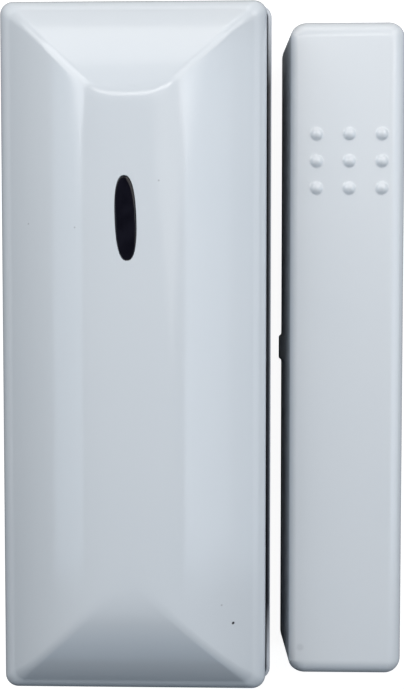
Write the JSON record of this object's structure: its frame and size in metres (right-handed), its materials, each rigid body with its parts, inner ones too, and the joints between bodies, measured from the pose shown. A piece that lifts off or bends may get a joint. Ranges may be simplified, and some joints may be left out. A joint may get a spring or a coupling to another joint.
{
  "type": "magnetic door contact",
  "caption": "Wireless magnetic door contact: a battery sensor in a hipped housing with a signal window, beside its bar magnet in a slim cap.",
  "frame": {"origin": "centre of the sensor's back face, on the wall", "axes": "+Z out from the wall through the window, +Y along the housing towards the window's end, +X across the gap towards the magnet"},
  "size_m": [0.0483, 0.081, 0.024],
  "materials": {
    "cover_white": "moulded, glossy",
    "tray_white": "moulded, glossy",
    "smoked_lens": "smoked, clear gloss",
    "board_green": "glass laminate under green resist",
    "screw_steel": "zinc plated",
    "cell_jacket": "printed film over steel, plain",
    "clip_steel": "nickel plated spring steel",
    "reed_glass": "clear glass",
    "lead_wire": "tinned",
    "switch_black": "moulded",
    "plunger_white": "moulded",
    "antenna_brass": "bare copper-coloured wire",
    "chip_black": "moulded",
    "can_tin": "tinned, brushed",
    "crystal_can": "drawn, satin",
    "capacitor_can": "drawn, satin",
    "lamp_clear": "clear cast",
    "part_tan": "fired, matt",
    "pin_gold": "gold flashed",
    "header_black": "moulded",
    "jumper_blue": "moulded",
    "magnet_white": "moulded, satin",
    "magnet_base_white": "moulded, satin",
    "magnet_nickel": "nickel plated"
  },
  "bodies": {
    "contact_pair": {"sensor_cover": "cover_white", "sensor_base": "tray_white", "window_lens": "smoked_lens", "circuit_board": "board_green", "board_screws": "screw_steel", "battery_cell": "cell_jacket", "battery_positive_clip": "clip_steel", "battery_negative_clip": "clip_steel", "reed_glass": "reed_glass", "reed_leads": "lead_wire", "tamper_switch": "switch_black", "antenna_wire": "antenna_brass", "microcontroller": "chip_black", "radio_can": "can_tin", "quartz_crystal": "crystal_can", "capacitor": "capacitor_can", "status_lamp": "lamp_clear", "small_board_parts": "part_tan", "header_pins": "pin_gold", "header_block": "header_black", "jumper_cap": "jumper_blue", "magnet_cover": "magnet_white", "magnet_base": "magnet_base_white", "magnet_bar": "magnet_nickel"},
    "plunger": {"tamper_plunger": "plunger_white"}
  },
  "joints": [
    {"name": "tamper_press", "type": "slide", "parent": "contact_pair", "child": "plunger", "axis": [0, 0, 1], "range_m": [-0.0005, 0], "stiffness_N_per_m": 250, "springref_m": 0.0008}
  ]
}
